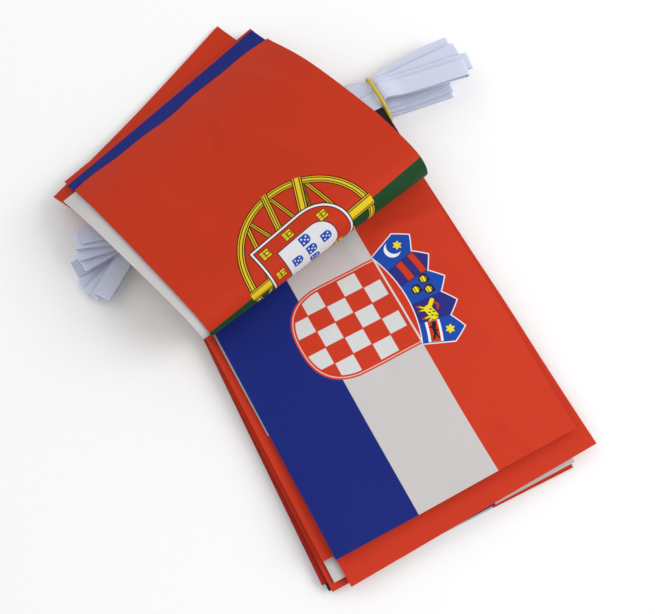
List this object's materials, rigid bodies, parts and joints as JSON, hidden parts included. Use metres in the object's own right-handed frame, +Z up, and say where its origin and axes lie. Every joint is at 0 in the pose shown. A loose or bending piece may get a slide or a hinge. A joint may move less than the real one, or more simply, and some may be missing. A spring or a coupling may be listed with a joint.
{
  "type": "bundle of flag bunting",
  "caption": "String flag bunting stacked in a zigzag bundle, the upper flags folded back as a loose roll, with the header tape in loops and a thin rubber band",
  "frame": {"origin": "middle of the bundle's bounds in plan, on the surface that it lies on", "axes": "X runs along the header toward the banded loops, the lower flags' free ends point to -Y, Z is up"},
  "size_m": [0.251, 0.3168, 0.0377],
  "materials": {
    "flag_cloth": "printed plain-weave polyester, soft satin, in red, white, blue and green",
    "tape": "white woven polyester tape",
    "band": "thin yellow rubber, slightly glossy"
  },
  "bodies": {
    "root": {"flag_black_yellow_red": "flag_cloth", "flag_green_left": "flag_cloth", "flag_dark_red_left": "flag_cloth", "flag_red_blue_white": "flag_cloth", "flag_white_corner": "flag_cloth", "flag_red_field": "flag_cloth", "flag_red_left": "flag_cloth", "flag_white_third": "flag_cloth", "flag_red_white_blue": "flag_cloth", "flag_green_red": "flag_cloth", "flag_white": "flag_cloth", "flag_blue_edge": "flag_cloth", "flag_red_edge": "flag_cloth", "flag_long_red": "flag_cloth", "header_tape": "tape", "rubber_band": "band"}
  },
  "joints": []
}
